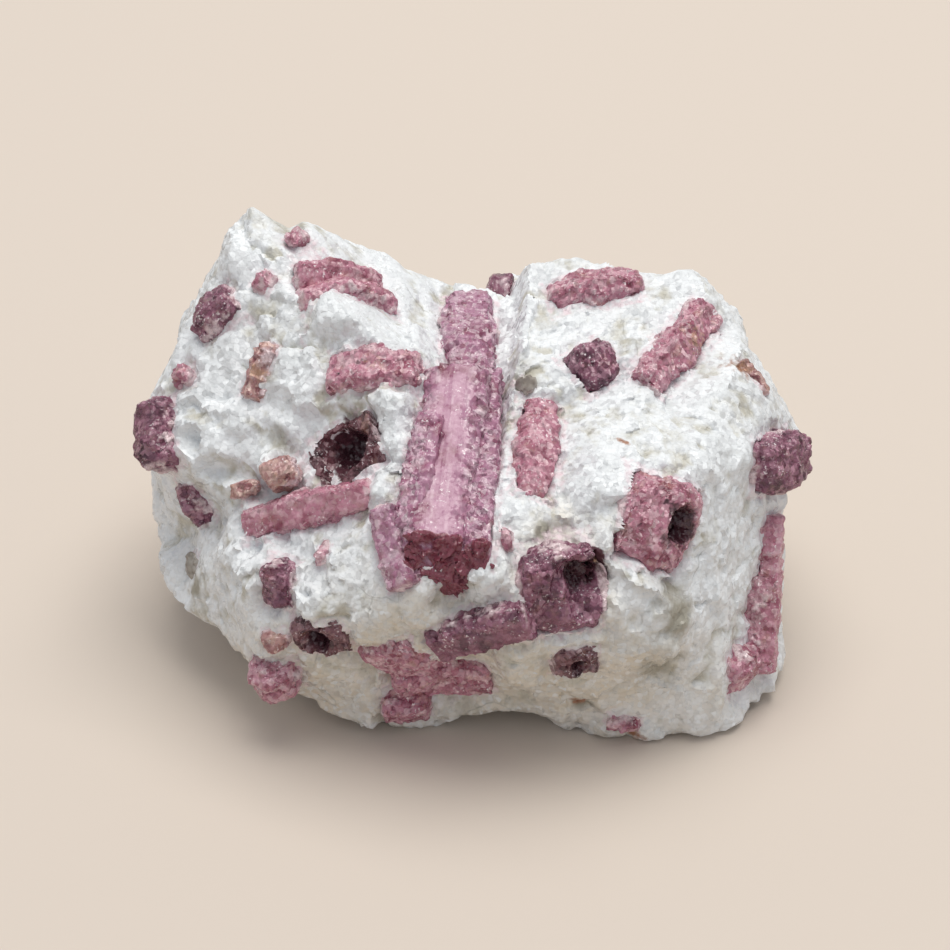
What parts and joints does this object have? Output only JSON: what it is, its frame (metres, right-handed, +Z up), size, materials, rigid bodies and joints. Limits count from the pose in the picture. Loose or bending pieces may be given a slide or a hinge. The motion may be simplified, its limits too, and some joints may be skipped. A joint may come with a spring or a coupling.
{
  "type": "pink tourmaline specimen",
  "caption": "Natural hand specimen: an uneven lump of white albite with pink tourmaline prisms set in it, lying on its own feet.",
  "frame": {"origin": "on the surface the lump lies on, under the middle of its box", "axes": "+X to the lump's right, its longest way; +Y to its back; +Z up, its shortest way"},
  "size_m": [0.0753, 0.0612, 0.0473],
  "materials": {
    "albite": "rough broken white feldspar, chalky with small cleavage glints",
    "quartz": "broken grey smoky quartz, glassy",
    "lilac_tourmaline": "smooth lilac pink prism faces with fine lengthwise grooves",
    "pink_tourmaline": "crumbly broken pink crystal, vitreous in places",
    "plum_tourmaline": "dark purple pink crystal, vitreous",
    "maroon_tourmaline": "deep maroon crystal broken open, vitreous",
    "brown_tourmaline": "iron-stained brown pink crystal, granular"
  },
  "bodies": {
    "root": {"matrix": "albite", "main_prism": "lilac_tourmaline", "upper_twin": "pink_tourmaline", "brown_prism": "pink_tourmaline", "saddle_blade": "plum_tourmaline", "peak_chip": "pink_tourmaline", "dome_prism": "pink_tourmaline", "dark_rosette": "plum_tourmaline", "brown_rod": "pink_tourmaline", "crest_rod": "pink_tourmaline", "slant_prism": "pink_tourmaline", "cavity_crystal": "maroon_tourmaline", "cavity_knob": "brown_tourmaline", "left_fleck": "brown_tourmaline", "ledge_cluster": "plum_tourmaline", "ledge_fleck": "pink_tourmaline", "dark_eye": "maroon_tourmaline", "low_fleck": "brown_tourmaline", "low_knob": "pink_tourmaline", "front_cluster": "pink_tourmaline", "front_rod": "plum_tourmaline", "front_ring": "maroon_tourmaline", "end_on_prism": "pink_tourmaline", "right_edge_rod": "pink_tourmaline", "right_knob": "plum_tourmaline", "left_knob": "plum_tourmaline", "left_knob_tip": "pink_tourmaline", "left_upper_prism": "plum_tourmaline", "left_vein": "brown_tourmaline", "peak_fleck": "pink_tourmaline", "left_low_prism": "plum_tourmaline", "main_chip": "pink_tourmaline", "orange_vein": "brown_tourmaline", "foot_fleck": "pink_tourmaline", "back_prism": "lilac_tourmaline", "back_rod": "pink_tourmaline", "back_knob": "plum_tourmaline", "back_low_rod": "pink_tourmaline", "back_left_knob": "pink_tourmaline", "left_back_rod": "pink_tourmaline", "right_back_prism": "pink_tourmaline", "right_low_knob": "plum_tourmaline", "under_rod": "pink_tourmaline", "quartz_grain_saddle": "quartz", "quartz_grain_left": "quartz", "quartz_grain_back": "quartz"}
  },
  "joints": []
}
